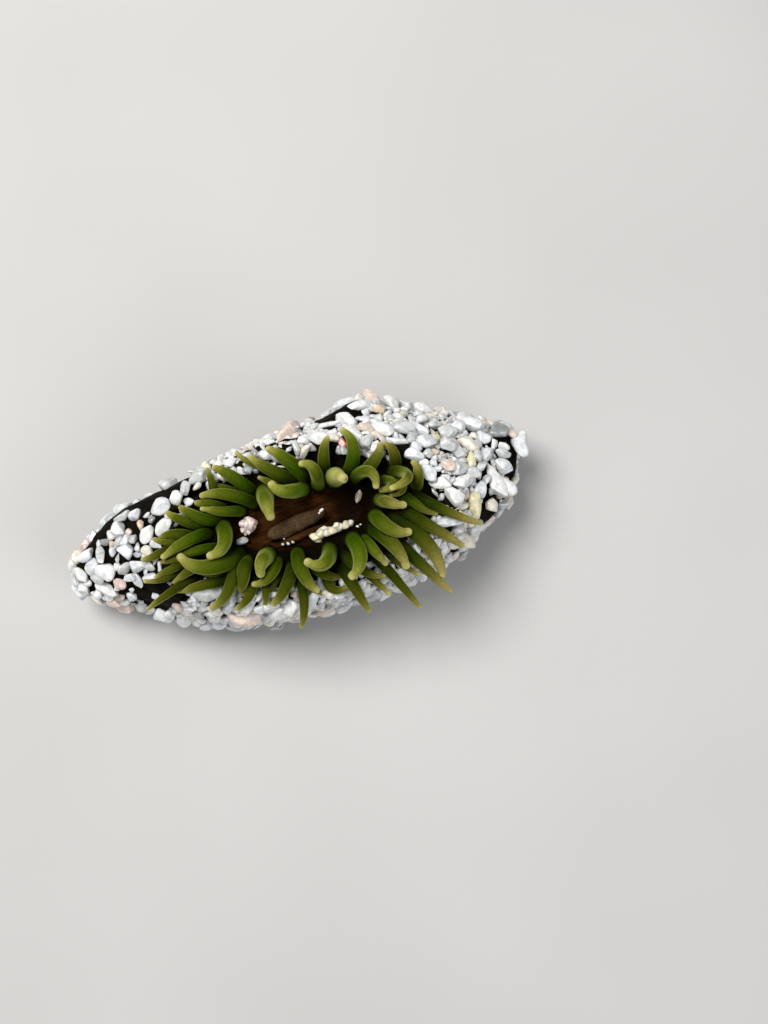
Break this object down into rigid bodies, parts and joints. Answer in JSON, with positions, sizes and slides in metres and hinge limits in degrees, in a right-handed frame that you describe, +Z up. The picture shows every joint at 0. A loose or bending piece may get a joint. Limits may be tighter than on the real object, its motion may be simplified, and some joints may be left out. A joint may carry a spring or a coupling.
{
  "type": "sea anemone",
  "caption": "Squat oval sea anemone on its foot, its crown of short tapering tentacles spread round a narrow disc with two lips, its column coated in shell and quartz grit.",
  "frame": {"origin": "on the flat underside of the pedal disc, at the middle of its length, at the level of the surface it stands on", "axes": "+X along the long axis of the oval body, +Y across it, +Z up through the crown"},
  "size_m": [0.0621, 0.0287, 0.0242],
  "materials": {
    "flesh_dark": "wet satin",
    "disc_brown": "wet satin",
    "lip_brown": "wet satin",
    "flesh_green": "wet satin",
    "grit": "rough"
  },
  "bodies": {
    "root": {"collar": "flesh_dark", "column_lower": "flesh_dark", "column_upper": "flesh_dark", "grit_band_01": "grit", "grit_band_02": "grit", "grit_band_03": "grit", "grit_band_04": "grit", "grit_band_05": "grit", "grit_band_06": "grit", "grit_band_07": "grit", "grit_band_08": "grit", "mouth_lip_lower": "lip_brown", "mouth_lip_upper": "lip_brown", "oral_disc": "disc_brown", "pedal_disc": "flesh_dark", "tentacle_tuft_01": "flesh_green", "tentacle_tuft_02": "flesh_green", "tentacle_tuft_03": "flesh_green", "tentacle_tuft_04": "flesh_green", "tentacle_tuft_05": "flesh_green", "tentacle_tuft_06": "flesh_green", "tentacle_tuft_07": "flesh_green", "tentacle_tuft_08": "flesh_green", "tentacle_tuft_09": "flesh_green", "tentacle_tuft_10": "flesh_green", "tentacle_tuft_11": "flesh_green", "tentacle_tuft_12": "flesh_green", "tentacle_tuft_13": "flesh_green", "tentacle_tuft_14": "flesh_green"}
  },
  "joints": []
}
